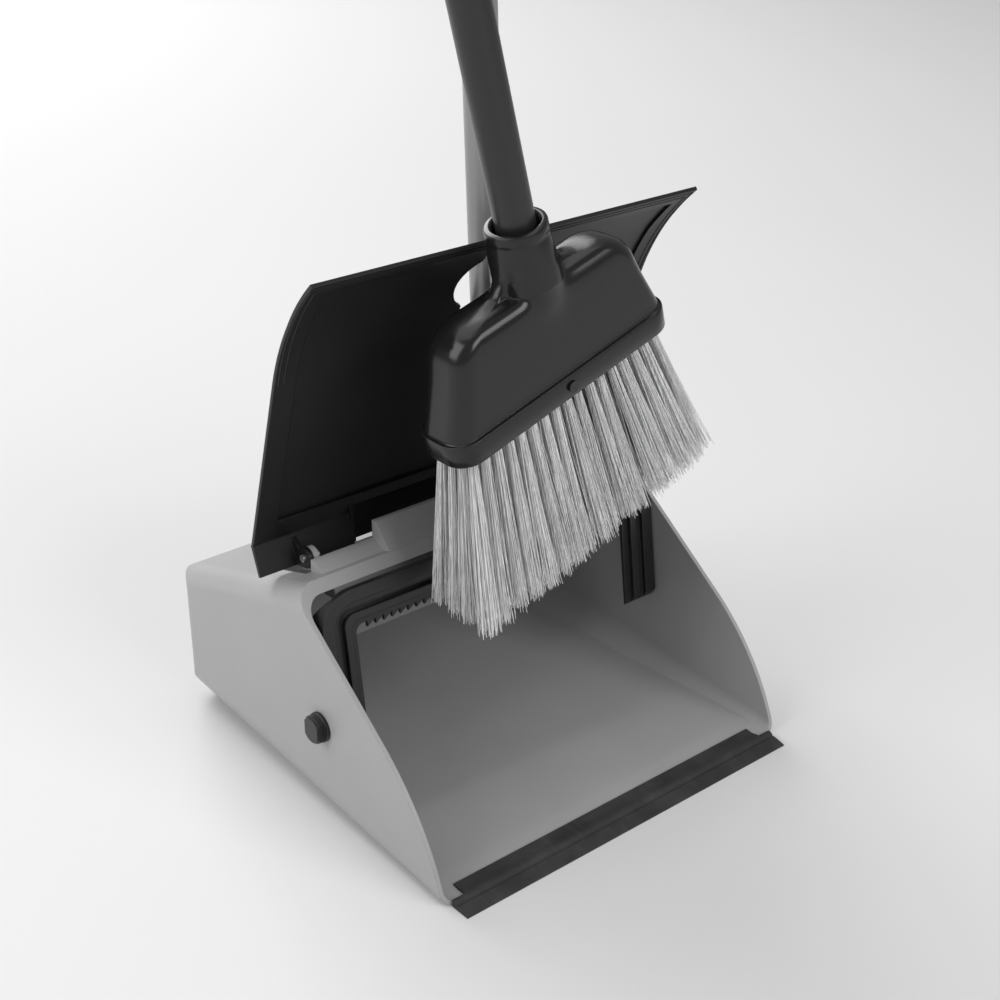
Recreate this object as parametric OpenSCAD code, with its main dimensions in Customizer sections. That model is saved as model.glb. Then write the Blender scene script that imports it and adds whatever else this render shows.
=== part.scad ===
// Long-handled dust pan with a self-closing lid, and its broom.
// Millimetres, +Z up, the pan's mouth faces -Y, +X is to the right of a person
// facing the pan from behind its mouth. The row's origin is on the floor, under
// the middle of the pan. Distances along the pan are counted from its lip.

/* [Pan] */
// Depth of the pan from its lip to its back wall
pan_d = 296; // [250:1:340]
// Outer width of the pan at its lip
pan_w_lip = 290; // [240:1:340]
// Outer width of the pan at its back wall
pan_w_back = 286; // [230:1:330]
// Height of the pan at its back wall
back_h = 107; // [95:1:120]
// Height of the pan above its mouth
mouth_h = 153.5; // [148:0.5:165]
// Wall thickness of the pan
wall = 2.8; // [2:0.1:4]
// Thickness of the pan's floor
floor_t = 4.5; // [3.5:0.1:6]

/* [Lip strip] */
// How far the soft strip reaches in front of the lip
strip_reach = 14.5; // [8:0.5:20]
// How far the soft strip lies on the floor behind the lip
strip_back = 11.5; // [8:0.5:16]

/* [Lid] */
// Thickness of the lid's plate
lid_t = 2.4; // [1.8:0.1:3.2]
// Gap between the closed lid and the pan's edges
lid_gap = 1.2; // [0.8:0.1:2.5]
// How far the lid reaches past the pan on each side
lid_over = 4.5; // [2:0.5:8]
// Width of the flat border around the lid
lid_border = 15; // [10:1:22]
// Angle between the lid's closed and open places
lid_open = 108.8; // [100:0.2:109.6]

/* [Pole and frame] */
// Outer diameter of the pole
pole_dia = 22; // [18:0.5:24]
// Wall thickness of the pole
pole_wall = 1.2; // [0.8:0.1:2]
// Length of the pole from its pivot line to its top end
pole_reach = 830; // [600:5:1000]
// How far the pole leans back at rest
pole_lean = 2.4; // [1:0.2:4]
// Diameter of the pivot shafts in the side walls
pivot_dia = 9; // [7:0.5:11]
// Height of the frame above the pivot line
frame_r = 86; // [80:0.5:88]

/* [Broom] */
// Outer diameter of the broom's tube
stick_dia = 24; // [20:0.5:26]
// Length of the tube above the head's collar
stick_reach = 690; // [500:5:900]
// Width of the broom head at its skirt
head_w = 180; // [165:1:225]
// Height of the broom head from skirt to collar
head_h = 114; // [105:1:130]
// Free length of the bristles
bristle_l = 112; // [70:1:130]
// Bristle tufts in each outer row
tufts_across = 17; // [11:1:20]

/* [Hidden] */
$fn = 96;
eps = 0.01;
run_fit = 0.05;      // radial clearance of a shaft that turns
seat_fit = 0.02;      // radial clearance of a shaft pressed into its seat
snug = 0.15;         // clearance of a part that stays put

// pan outline, counted from the lip
base_mid = pan_d / 2;
mouth_y = 150;                       // where the mouth's edge meets the top
top_slope = (mouth_h - back_h) / (pan_d - mouth_y);
edge_a = 37;                         // slope of the mouth's straight edge, degrees
bend_y = 60;                         // where the straight edge starts to curve
bend_z = mouth_h - (mouth_y - bend_y) * tan(edge_a);
edge_r = bend_z * 1.957;             // radius of the curved edge
edge_cy = bend_y + edge_r * sin(edge_a);
edge_cz = bend_z - edge_r * cos(edge_a);
edge_ang = 90 + edge_a;              // angle of the bend seen from the centre
back_r = 10;                         // rounding of the back's top edge
heel_r = 12;                         // rounding of the back's bottom edge
corner_r = 14;                       // rounding of the back's upright corners
sole_r = 36;                         // rounding of the long bottom edges
lip_r = 10;                          // the same at the lip
sole_y = 72;                         // where the bottom rounding is full
brow_r0 = 14;                         // rounding of the top edges at the back
brow_r1 = 20;                        // the same above the lip
taper = (pan_w_lip - pan_w_back) / 2 / pan_d;
function half_w(y) = pan_w_lip / 2 - taper * y;
function top_z(y) = back_h + top_slope * (pan_d - y);

// lid hinge and slot in the pan's top
hinge_y = mouth_y + 27;
hinge_z = top_z(mouth_y) + 0.5;
slot_y0 = 169.5;
slot_y1 = 200;
slot_w = 240;
cheek_x = 113;                       // inner face of the lid's cheeks
cheek_t = 3;
cheek_r = 7;
ear_gap = 0.6;                       // side gap between a cheek and its ear
ear_t = 4;
ear_r = 6.5;
pin_r = 2.5;
brow_w = 136;                        // width of the raised middle of the brow
brow_top = 168.5;                    // height of that middle
brow_low_w = 232;                    // width of the brow beside it

// pivot frame
pivot_y = 123.5;
pivot_z = 66.5;
frame_gap = 1;                       // side gap between the frame and the walls
frame_out = half_w(pivot_y) - wall - frame_gap - 1;
frame_lean = 7.3;                    // lean of the frame's front face, degrees
web_t = 2.6;
face_t = 2.4;
frame_front = 8;                     // reach of the frame before the pivot line
frame_rear = 20;                     // reach of the legs behind it
leg_drop = 8;                        // reach of the legs below the pivot line
frame_turn = 24;                     // radius of the frame's outer corners
step_1 = 9;                          // widths of the frame's steps, from outside
step_2 = 16;
step_3 = 21;
step_4 = 26;
socket_wall = 2.6;
socket_top = 63;
socket_low = 34;
pole_r = pole_dia / 2;
socket_r = pole_r + snug + socket_wall;
knob_reach = 7.6;
knob_r = 10;

// lid, drawn closed and then turned open about its hinge
lid_r_in = edge_r + lid_gap;
lid_step = 1.6;                      // how far the middle panel stands out
lid_tip_a = edge_ang + 30.3;         // angle of the lid's free edge
crease_y = 162;
lid_w_tip = pan_w_lip / 2 + lid_over;
lid_w_base = half_w(hinge_y) + lid_over - 5.3;
hole_a = edge_ang + 14.2;            // angle of the hole's middle
hole_r = 24;
hole_slot_w = pole_dia + 3.4;
hole_up = 46;                        // slot reach towards the free edge
hole_down = 32;                      // slot reach towards the hinge

// broom
stick_r = stick_dia / 2;
collar_r = stick_r + 6.8;
collar_at = [-27.4, 76, 380.5];      // middle of the collar's rim, from the lip
collar_turn = [2, -16.3, 1.9];
neck_l = 38;
skirt_h = 15.5;
skirt_d = 44;
shoulder_w = 146;
shell = 3;
block_h = 13;
block_in = 3.5;                      // skirt around the bristle block
row_pitch = 8.6;
tuft_r = 3.1;
fan = 11.5;                           // lean of the outermost tufts, degrees
rake = 5;                            // lean of the outer rows, degrees
root = 6;                            // how deep the tufts sit in the block

module from_lip() {
  translate([0, -base_mid, 0]) children();
}

// turns a flat outline drawn in (y, z) into a solid of width w about x = 0
module across(w) {
  rotate([90, 0, 90]) translate([0, 0, -w / 2]) linear_extrude(w) children();
}

// ------------------------------------------------------------------ pan

module side_outline() {
  run = sqrt(1 + top_slope * top_slope);
  rear_c = top_z(pan_d - back_r) - back_r * run;
  union() {
    polygon([
      [bend_y, 0],
      [pan_d - heel_r, 0],
      [pan_d, heel_r],
      [pan_d, rear_c],
      [pan_d - back_r + back_r * top_slope / run, rear_c + back_r / run],
      [mouth_y, mouth_h],
      [bend_y, bend_z]
    ]);
    intersection() {
      translate([edge_cy, edge_cz]) circle(edge_r, $fn = 240);
      square([bend_y + eps, bend_z]);
    }
    translate([pan_d - back_r, rear_c]) circle(back_r);
    translate([pan_d - heel_r, heel_r]) circle(heel_r);
  }
}

module cavity_outline() {
  drop = wall * sqrt(1 + top_slope * top_slope);
  ramp_y = 21;
  lip_t = 2.8;
  r = back_r - wall;
  y1 = pan_d - wall;
  polygon([
    [-40, lip_t],
    [6, lip_t],
    [ramp_y, floor_t],
    [y1 - r, floor_t],
    [y1, floor_t + r],
    [y1, top_z(y1) - drop],
    [-40, top_z(-40) - drop]
  ]);
}

// rounded tube that the pan's walls follow; inset is 0 outside, wall inside
module pan_tube(inset, y0, y1) {
  hull() {
    for (s = [-1, 1]) {
      for (y = [y0, 0]) {
        translate([s * (half_w(0) - lip_r), y, lip_r]) rotate([-90, 0, 0])
          cylinder(r = lip_r - inset, h = 0.5, $fn = 32);
      }
      translate([s * (half_w(sole_y) - sole_r), sole_y, sole_r]) rotate([-90, 0, 0])
        cylinder(r = sole_r - inset, h = 0.5, $fn = 48);
      translate([s * (half_w(y1) - sole_r), y1, sole_r]) rotate([-90, 0, 0])
        cylinder(r = sole_r - inset, h = 0.5, $fn = 48);
      translate([s * (half_w(0) - brow_r1), y0, top_z(0) - brow_r1]) rotate([-90, 0, 0])
        cylinder(r = brow_r1 - inset, h = 0.5, $fn = 48);
      translate([s * (half_w(y1) - brow_r0), y1, top_z(y1) - brow_r0]) rotate([-90, 0, 0])
        cylinder(r = brow_r0 - inset, h = 0.5, $fn = 48);
    }
  }
}

module upright_corners(inset) {
  r = corner_r - inset;
  w = half_w(pan_d) - inset;
  translate([0, 0, -5]) linear_extrude(300) {
    polygon([
      [-half_w(-60) - 20, -60], [half_w(-60) + 20, -60],
      [half_w(-60) + 20, pan_d - 40], [w, pan_d - inset - r],
      [w - r, pan_d - inset], [r - w, pan_d - inset],
      [-w, pan_d - inset - r], [-half_w(-60) - 20, pan_d - 40]
    ]);
    for (s = [-1, 1]) {
      translate([s * (w - r), pan_d - inset - r]) circle(r);
    }
  }
}

module brow_outline(rise) {
  polygon([
    [143, 138.5], [143.2, 143], [145, 147],
    [163, 147 + rise * 0.86], [166.6, 147 + rise], [slot_y0, 147 + rise],
    [slot_y0, 140], [160, 137.5]
  ]);
}

module hinge_ear() {
  rotate([90, 0, 90]) linear_extrude(ear_t) {
    translate([hinge_y, hinge_z]) circle(ear_r);
    polygon([
      [hinge_y - ear_r, hinge_z],
      [hinge_y + ear_r, hinge_z],
      [hinge_y + ear_r + 1, top_z(hinge_y + ear_r + 1) - 1],
      [hinge_y - ear_r - 3, top_z(hinge_y - ear_r - 3) - 1]
    ]);
  }
}

module pan_body() {
  color("lightgrey") from_lip() difference() {
    union() {
      difference() {
        intersection() {
          pan_tube(0, 0, pan_d - 0.5);
          across(pan_w_lip + 40) side_outline();
          upright_corners(0);
        }
        intersection() {
          pan_tube(wall, -40, pan_d - 0.5);
          across(pan_w_lip + 40) cavity_outline();
          upright_corners(wall);
        }
        // slot that the lid's root drops into
        translate([-slot_w / 2, slot_y0, 120]) cube([slot_w, slot_y1 - slot_y0, 60]);
      }
      across(brow_low_w) brow_outline(9);
      across(brow_w) brow_outline(21.5);
      for (s = [0, 1]) {
        mirror([s, 0, 0]) translate([cheek_x - ear_gap - ear_t, 0, 0]) hinge_ear();
      }
    }
    // hinge pin bores
    translate([-150, hinge_y, hinge_z]) rotate([0, 90, 0])
      cylinder(r = pin_r + snug / 3, h = 300);
    // pivot shaft bores
    translate([-200, pivot_y, pivot_z]) rotate([0, 90, 0])
      cylinder(d = pivot_dia + 2 * run_fit, h = 400);
  }
}

module lip_strip() {
  z0 = 2.8;
  color("dimgray") from_lip() union() {
    across(2 * 128.5) polygon([
      [0, z0], [6, z0 + eps], [strip_back, z0 + (strip_back - 6) * 0.1134 + 0.02],
      [strip_back, z0 + 1.9], [6.5, z0 + 1.3], [1.2, z0 + 2.3], [0, z0 + 2.3]
    ]);
    across(2 * 138.5) polygon([
      [0, 0], [0, 5.1], [-1.5, 4.9], [-3.2, 3.9], [-4, 2.4], [-5.2, 2.9],
      [-strip_reach + 1, 1.0], [-strip_reach, 0.5], [-strip_reach, 0]
    ]);
  }
}

module hinge_pin(side) {
  color("silver") from_lip() mirror([side, 0, 0])
    translate([cheek_x - ear_gap - ear_t - 2, hinge_y, hinge_z]) rotate([0, 90, 0]) union() {
      cylinder(r = pin_r, h = cheek_t + ear_gap + ear_t + 3.6);
      cylinder(r = pin_r + 1.5, h = 1.6);
    }
}
module hinge_pin_left() { hinge_pin(1); }
module hinge_pin_right() { hinge_pin(0); }

// ------------------------------------------------------------------ lid

// plate between two offsets of the mouth's edge
module lid_band(lo, hi, tip) {
  y0 = crease_y;
  across(400) union() {
    difference() {
      intersection() {
        translate([edge_cy, edge_cz]) circle(edge_r + hi, $fn = 240);
        translate([edge_cy, edge_cz]) polygon([
          [0, 0],
          [2 * edge_r * cos(edge_ang), 2 * edge_r * sin(edge_ang)],
          [2 * edge_r * cos(tip), 2 * edge_r * sin(tip)]
        ]);
      }
      translate([edge_cy, edge_cz]) circle(edge_r + lo, $fn = 240);
    }
    translate([bend_y, bend_z]) rotate(edge_a)
      translate([-eps, lo]) square([(y0 - bend_y) / cos(edge_a) + eps, hi - lo]);
  }
}

module lid_sides(less, y_lo, y_hi) {
  w0 = lid_w_tip - less;
  w1 = (lid_w_tip + lid_w_base) / 2 - less;
  w2 = lid_w_base - less;
  y_mid = 24;
  translate([0, 0, -20]) linear_extrude(260) polygon([
    [-w0, y_lo], [w0, y_lo], [w1, y_mid], [w2, y_hi], [-w2, y_hi], [-w1, y_mid]
  ]);
}

module lid_cheek() {
  rotate([90, 0, 90]) linear_extrude(cheek_t) {
    translate([hinge_y, hinge_z]) circle(cheek_r);
    polygon([
      [hinge_y - cheek_r + 1, hinge_z + 3.5],
      [crease_y, bend_z + (crease_y - bend_y) * tan(edge_a) + lid_gap + 1],
      [hinge_y + 5, hinge_z + 11.5],
      [hinge_y + cheek_r, hinge_z]
    ]);
  }
}

// raised strip that carries the plate over the brow's raised middle
module lid_bridge() {
  y0 = crease_y - 9;
  z0 = bend_z + (y0 - bend_y) * tan(edge_a) + lid_gap / cos(edge_a);
  high = brow_top + 2.4;
  side = brow_w / 2 + 1.2;
  across(2 * side + 2 * lid_t) polygon([
    [y0, z0 + 0.4], [y0 + 2.6, z0 + 2.3], [y0 + 2.6, high], [hinge_y + 3.2, high + 0.5],
    [hinge_y + 3.2, high + 0.5 + lid_t], [y0 + 1.6, high + lid_t], [y0, high + 0.8]
  ]);
  for (s = [0, 1]) {
    mirror([s, 0, 0]) translate([side, 0, 0]) rotate([90, 0, 90]) linear_extrude(lid_t) polygon([
      [y0 + 1, z0 + 1], [hinge_y + 4, hinge_z + 11], [hinge_y + 3.2, high + 0.8], [y0 + 1, high + 0.6]
    ]);
  }
}

module lid_closed() {
  crease_z = bend_z + (crease_y - bend_y) * tan(edge_a) + lid_gap / cos(edge_a);
  mid_y0 = 10.5;
  mid_y1 = crease_y - 13;
  union() {
    difference() {
      union() {
        difference() {
          intersection() {
            lid_band(lid_gap, lid_gap + lid_t, lid_tip_a);
            lid_sides(0, -20, crease_y + 40);
          }
          lid_sides(lid_border, mid_y0, mid_y1);
        }
        intersection() {
          lid_band(lid_gap + lid_step, lid_gap + lid_step + lid_t, lid_tip_a);
          lid_sides(lid_border - 1.2, mid_y0 - 1.2, mid_y1 + 1.2);
        }
        // flange over the hinge
        intersection() {
          across(400) polygon([
            [crease_y - 1.6, crease_z - 0.6], [crease_y - 1.6, crease_z + 2.2],
            [hinge_y + 5, hinge_z + 11.5 + lid_t - 1.2], [hinge_y + 5, hinge_z + 10.2]
          ]);
          lid_sides(0, -20, crease_y + 60);
        }
        for (s = [0, 1]) {
          mirror([s, 0, 0]) translate([cheek_x, 0, 0]) lid_cheek();
        }
      }
      translate([-150, hinge_y, hinge_z]) rotate([0, 90, 0])
        cylinder(r = pin_r + run_fit, h = 300);
      // notch that clears the raised middle of the brow
      translate([-brow_w / 2 - 3, crease_y - 6, crease_z - 20]) cube([brow_w + 6, 60, 60]);
      // hole that the pole runs through
      translate([0, edge_cy, edge_cz]) rotate([hole_a, 0, 0]) {
        translate([0, edge_r, 0]) rotate([-90, 0, 0]) {
          translate([0, 0, -20]) cylinder(r = hole_r, h = 40);
          translate([-hole_slot_w / 2, -hole_up, -20]) cube([hole_slot_w, hole_up + hole_down, 40]);
        }
      }
    }
    lid_bridge();
  }
}

module lid() {
  color("dimgray") from_lip()
    translate([0, hinge_y, hinge_z]) rotate([-lid_open, 0, 0])
      translate([0, -hinge_y, -hinge_z]) lid_closed();
}

// ------------------------------------------------------- pole and frame

// everything that turns with the pole is drawn upright about the pivot line
module leaned() {
  from_lip() translate([0, pivot_y, pivot_z]) children();
}

// inverted U of the given width, from v0 to v1 in front-to-back distance
module frame_band(less, width, v0, v1) {
  translate([0, v1, 0]) rotate([90, 0, 0]) linear_extrude(v1 - v0) difference() {
    frame_outline(less);
    frame_outline(less + width);
  }
}

module frame_outline(less) {
  hw = frame_out - less;
  top = frame_r - less;
  r = max(frame_turn - less, 6);
  polygon([
    [-hw, -60], [hw, -60], [hw, top - r], [hw - r, top], [r - hw, top], [-hw, top - r]
  ]);
  for (s = [-1, 1]) {
    translate([s * (hw - r), top - r]) circle(r);
  }
}

module teeth() {
  pitch = 6.4;
  deep = 4;
  for (s = [0, 1]) {
    mirror([s, 0, 0]) for (i = [0 : 9]) {
      x = frame_out - step_4 - 9 - i * pitch;
      translate([x, -frame_front + 5.5, frame_r - step_4]) rotate([90, 0, 0]) linear_extrude(face_t)
        polygon([[0, 1.5], [-pitch - eps, 1.5], [-pitch - eps, 0], [0, -deep]]);
    }
  }
}

// side view of the frame: deep legs, and a bar cut back for the closed lid
module frame_side() {
  r = leg_drop + 4;
  polygon([
    [-frame_front - 1, 4], [frame_rear, 4], [frame_rear, 48], [frame_rear - 12, 60],
    [8, frame_r - 18], [-3.6, frame_r - 3.4], [-3.6, frame_r + 1], [-frame_front - 1, frame_r + 1]
  ]);
  translate([-frame_front - 1 + r, 4]) circle(r);
  translate([frame_rear - r, 4]) circle(r);
  translate([-frame_front - 1 + r, 4 - r]) square([frame_rear + frame_front + 1 - 2 * r, r + eps]);
}

module pivot_frame() {
  color("dimgray") leaned() difference() {
    union() {
      rotate([-frame_lean, 0, 0]) {
        intersection() {
          union() {
            frame_band(0, web_t, -frame_front, frame_rear);
            frame_band(0, step_1, -frame_front, face_t - frame_front);
            frame_band(step_1 - face_t, face_t, -frame_front, 5.5 - frame_front);
            frame_band(step_1 - eps, step_4 - step_1, 3.1 - frame_front, 5.5 - frame_front);
            frame_band(step_2, step_3 - step_2, -frame_front - 0.8, 5.5 - frame_front);
          }
          across(400) frame_side();
        }
        teeth();
        // gable that ties the bar to the socket
        translate([0, 5.5 - frame_front, 0]) rotate([90, 0, 0]) linear_extrude(face_t) polygon([
          [-40, frame_r - step_4 + 1], [-15, socket_low + 5], [15, socket_low + 5],
          [40, frame_r - step_4 + 1]
        ]);
        // bosses around the pivot shafts
        for (s = [-1, 1]) {
          translate([s * (frame_out - 9), 0, 0]) rotate([0, s * 90, 0])
            cylinder(r = pivot_dia / 2 + 2.6, h = 9);
        }
      }
      rotate([-pole_lean, 0, 0]) translate([0, 0, socket_low])
        cylinder(r = socket_r, h = socket_top - socket_low);
    }
    rotate([-pole_lean, 0, 0]) {
      translate([0, 0, socket_low + 3]) cylinder(r = pole_r + snug, h = 100);
      translate([0, 0, socket_low + 10]) rotate([90, 0, 0]) cylinder(r = 2.2, h = 40);
    }
    for (s = [-1, 1]) {
      translate([s * (frame_out - 20), 0, 0]) rotate([0, s * 90, 0])
        cylinder(d = pivot_dia + 2 * seat_fit, h = 30);
    }
  }
}

// grip-like knob outside the wall with its shaft through wall and leg
module pivot_knob(side) {
  wall_x = half_w(pivot_y - knob_r) + 0.3;
  in_x = frame_out - 9;
  color("black") leaned() mirror([side, 0, 0]) {
    translate([in_x, 0, 0]) rotate([0, 90, 0]) cylinder(d = pivot_dia, h = wall_x - in_x + 1);
    translate([wall_x, 0, 0]) rotate([0, 90, 0]) union() {
      cylinder(r = knob_r, h = 2);
      intersection() {
        union() {
          cylinder(r = knob_r - 0.6, h = knob_reach - 1.5);
          cylinder(r = knob_r - 1.6, h = knob_reach);
        }
        translate([-20, -7, 0]) cube([40, 14, knob_reach + 1]);
      }
    }
  }
}
module pivot_knob_left() { pivot_knob(1); }
module pivot_knob_right() { pivot_knob(0); }

module pole_tube() {
  low = socket_low + 3.2;
  color("lightgrey") leaned() rotate([-pole_lean, 0, 0]) difference() {
    translate([0, 0, low]) cylinder(r = pole_r, h = pole_reach - low);
    translate([0, 0, low - 1]) cylinder(r = pole_r - pole_wall, h = pole_reach);
    translate([0, 0, socket_low + 10]) rotate([90, 0, 0]) cylinder(r = 2.2, h = 40);
  }
}

module pole_screw() {
  color("silver") leaned() rotate([-pole_lean, 0, 0]) translate([0, 0, socket_low + 10])
    rotate([90, 0, 0]) union() {
    translate([0, 0, pole_r - 4]) cylinder(r = 2, h = socket_wall + 5);
    translate([0, 0, socket_r + 0.4]) cylinder(r = 4, h = 2);
  }
}

// plug with a domed end that closes a tube of radius r
module end_cap(r, inner, at) {
  dome = r + 1.4;
  translate([0, 0, at - 26]) cylinder(r = inner - snug, h = 27);
  translate([0, 0, at + 0.1]) cylinder(r = dome, h = 9);
  translate([0, 0, at + 9]) rotate_extrude() intersection() {
    scale([1, 0.55]) circle(dome);
    square([dome, dome]);
  }
}

module pole_cap() {
  color("dimgray") leaned() rotate([-pole_lean, 0, 0]) union()
    end_cap(pole_r, pole_r - pole_wall, pole_reach);
}

// ---------------------------------------------------------------- broom

// drawn upright with the middle of the collar's rim at the origin
module held() {
  from_lip() translate(collar_at) rotate(collar_turn) children();
}

module head_front() {
  hs = shoulder_w / 2;
  hw = head_w / 2;
  sr = 14;
  polygon([
    [-hw + 1.5, -head_h + skirt_h], [hw - 1.5, -head_h + skirt_h],
    [hs, -neck_l - sr], [hs - sr, -neck_l], [30, -neck_l + 12], [22, -neck_l + 22],
    [-22, -neck_l + 22], [-30, -neck_l + 12], [sr - hs, -neck_l], [-hs, -neck_l - sr]
  ]);
  for (s = [-1, 1]) {
    translate([s * (hs - sr), -neck_l - sr]) circle(sr);
  }
}

module skirt_plan(w, d) {
  r = d / 2 - 1.5;
  polygon([
    [-w / 2 + r, -d / 2], [w / 2 - r, -d / 2], [w / 2, -d / 2 + r], [w / 2, d / 2 - r],
    [w / 2 - r, d / 2], [-w / 2 + r, d / 2], [-w / 2, d / 2 - r], [-w / 2, -d / 2 + r]
  ]);
  for (s = [-1, 1], t = [-1, 1]) {
    translate([s * (w / 2 - r), t * (d / 2 - r)]) circle(r);
  }
}

module broom_head() {
  d_top = 36;
  color("darkslategray") held() difference() {
    union() {
      translate([0, 0, -head_h]) linear_extrude(skirt_h) skirt_plan(head_w, skirt_d);
      intersection() {
        translate([0, 60, 0]) rotate([90, 0, 0]) linear_extrude(120) head_front();
        across(400) polygon([
          [-skirt_d / 2 + 1.5, -head_h + skirt_h - 1], [skirt_d / 2 - 1.5, -head_h + skirt_h - 1],
          [d_top / 2 + 0.5, -head_h + 45], [d_top / 2 - 2, -neck_l], [17, -neck_l + 22],
          [-17, -neck_l + 22], [-d_top / 2 + 2, -neck_l], [-d_top / 2 - 0.5, -head_h + 45]
        ]);
      }
      translate([0, 0, -neck_l - 12]) cylinder(r1 = collar_r + 2.5, r2 = collar_r - 0.4, h = neck_l + 5);
      translate([0, 0, -8]) cylinder(r = collar_r, h = 8);
    }
    translate([0, 0, -neck_l]) cylinder(r = stick_r + snug, h = neck_l + 20);
    translate([0, 0, -head_h - 1]) linear_extrude(block_h + 1)
      skirt_plan(head_w - 2 * block_in, skirt_d - 2 * block_in);
    translate([0, 0, -head_h + 8]) rotate([90, 0, 0]) cylinder(r = 2.1, h = 60);
  }
}

module bristle_block() {
  color("gray") held() difference() {
    translate([0, 0, -head_h + 0.6]) linear_extrude(block_h - 0.8)
      skirt_plan(head_w - 2 * block_in - 0.6, skirt_d - 2 * block_in - 0.6);
    translate([0, 0, -head_h + 8]) rotate([90, 0, 0]) cylinder(r = 2.1, h = 60);
  }
}

module block_screw() {
  color("silver") held() translate([0, 0, -head_h + 8]) rotate([90, 0, 0]) union() {
    translate([0, 0, skirt_d / 2 - 6]) cylinder(r = 1.9, h = 6.3);
    translate([0, 0, skirt_d / 2 + 0.2]) cylinder(r = 3.6, h = 1.6);
  }
}

// one row of tufts; each is a straight bundle that leans outwards
module tuft_row(y, lean, n) {
  span = head_w - 2 * block_in - 22.6;
  color("silver") held() for (i = [0 : n - 1]) {
    u = n > 1 ? 2 * i / (n - 1) - 1 : 0;
    long = bristle_l / cos(fan) * (1 - 0.03 * abs(u)) + root;
    translate([u * span / 2, y, -head_h + root]) rotate([-lean, 0, 0]) rotate([0, -u * fan, 0])
      translate([0, 0, -long]) cylinder(r1 = tuft_r * 1.25, r2 = tuft_r, h = long, $fn = 32);
  }
}
module tuft_row_front() { tuft_row(-1.5 * row_pitch, rake, tufts_across); }
module tuft_row_mid_front() { tuft_row(-0.5 * row_pitch, rake / 3, tufts_across - 1); }
module tuft_row_mid_rear() { tuft_row(0.5 * row_pitch, -rake / 3, tufts_across - 1); }
module tuft_row_rear() { tuft_row(1.5 * row_pitch, -rake, tufts_across); }

module broom_tube() {
  low = -neck_l + 0.5;
  color("slategray") held() difference() {
    translate([0, 0, low]) cylinder(r = stick_r, h = stick_reach - low);
    translate([0, 0, low - 1]) cylinder(r = stick_r - 1.2, h = stick_reach + neck_l + 2);
  }
}

module broom_cap() {
  color("dimgray") held() union() end_cap(stick_r, stick_r - 1.2, stick_reach);
}

pan_body();
lip_strip();
hinge_pin_left();
hinge_pin_right();
lid();
pivot_frame();
pivot_knob_left();
pivot_knob_right();
pole_tube();
pole_screw();
pole_cap();
broom_head();
bristle_block();
block_screw();
tuft_row_front();
tuft_row_mid_front();
tuft_row_mid_rear();
tuft_row_rear();
broom_tube();
broom_cap();
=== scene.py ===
"""Looks of a long-handled dust pan with a self-closing lid and its broom.

Run as a script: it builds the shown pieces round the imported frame, in metres.
"""

import math
import random

import bmesh
import bpy
from mathutils import Matrix, Vector


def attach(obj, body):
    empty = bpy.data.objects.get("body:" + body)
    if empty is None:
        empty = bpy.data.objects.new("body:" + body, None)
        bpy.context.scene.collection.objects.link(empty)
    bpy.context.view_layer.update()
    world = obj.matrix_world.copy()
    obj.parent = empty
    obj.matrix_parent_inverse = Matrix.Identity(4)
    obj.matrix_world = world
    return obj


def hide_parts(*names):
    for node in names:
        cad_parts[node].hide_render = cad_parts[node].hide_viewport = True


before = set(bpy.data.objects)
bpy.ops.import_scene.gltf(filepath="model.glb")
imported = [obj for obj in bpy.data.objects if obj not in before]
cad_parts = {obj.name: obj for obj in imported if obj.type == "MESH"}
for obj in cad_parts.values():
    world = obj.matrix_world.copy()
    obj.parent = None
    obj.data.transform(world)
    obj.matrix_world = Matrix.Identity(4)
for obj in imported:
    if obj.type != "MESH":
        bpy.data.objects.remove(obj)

bl_info = {
    "name": "Dust pan and broom set",
    "version": (1, 0, 0),
    "blender": (4, 5, 0),
    "location": "View3D > Sidebar > Sweeping",
    "description": "Builds a lidded dust pan on a pole with its broom",
    "category": "Add Mesh",
}

MM = 0.001

# the broom is drawn upright about the middle of its collar's rim
COLLAR_AT = Vector((-27.4, -72.0, 380.5)) * MM
COLLAR_TURN = (2.0, -16.3, 1.9)
HEAD_HEIGHT = 114.0
SKIRT_HALF = (90.0, 22.0)
# the hollow under the skirt: inset, height of its roof and corner radius
BLOCK_INSET = 3.5
HOLLOW_ROOF = 12.9
HOLLOW_CORNER = 12.5
# the rounded foot of the skirt: rise, inset and corner radius
FOOT_RISE = 0.4
FOOT_INSET = 1.0
FOOT_CORNER = 15.0
HEAD_SHARP_EDGE = 38.0
BORE_RADIUS = 12.15
BORE_DEPTH = 38.0
RING_POINTS = 192
NECK_BLEND = 9

# tuft rows: place across the block, lean and number of tufts
ROW_PITCH = 8.6
TUFT_SPAN = 150.4
TUFT_ROOT = 6.0
TUFT_FAN = 11.5
BRISTLE_LENGTH = 112.0
ROWS = (
    ("tuft_row_front", -1.5, 5.0, 17),
    ("tuft_row_mid_front", -0.5, 5.0 / 3.0, 16),
    ("tuft_row_mid_rear", 0.5, -5.0 / 3.0, 16),
    ("tuft_row_rear", 1.5, -5.0, 17),
)

# strands of a tuft: places along one and its taper, radius of the tuft at its
# root and tip, and how far strands stray, bow and wander, in millimetres
STRAND_SHARES = (0.0, 0.35, 0.65, 0.86, 1.0)
STRAND_TAPER = (1.0, 1.0, 1.0, 0.95, 0.7)
TUFT_ROOT_RADIUS = 2.5
TUFT_TIP_RADIUS = 5.4
TUFT_TIP_SPREAD = 2.4
SPLAY_CURVE = 1.3
WANDER_SPREAD = 0.55
WANDER_REACH = 2.0
BOW_SPREAD = 0.8
BOW_REACH = 0.8
STRAY_CHANCE = 0.06
STRAY_REACH = 5.0
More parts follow.
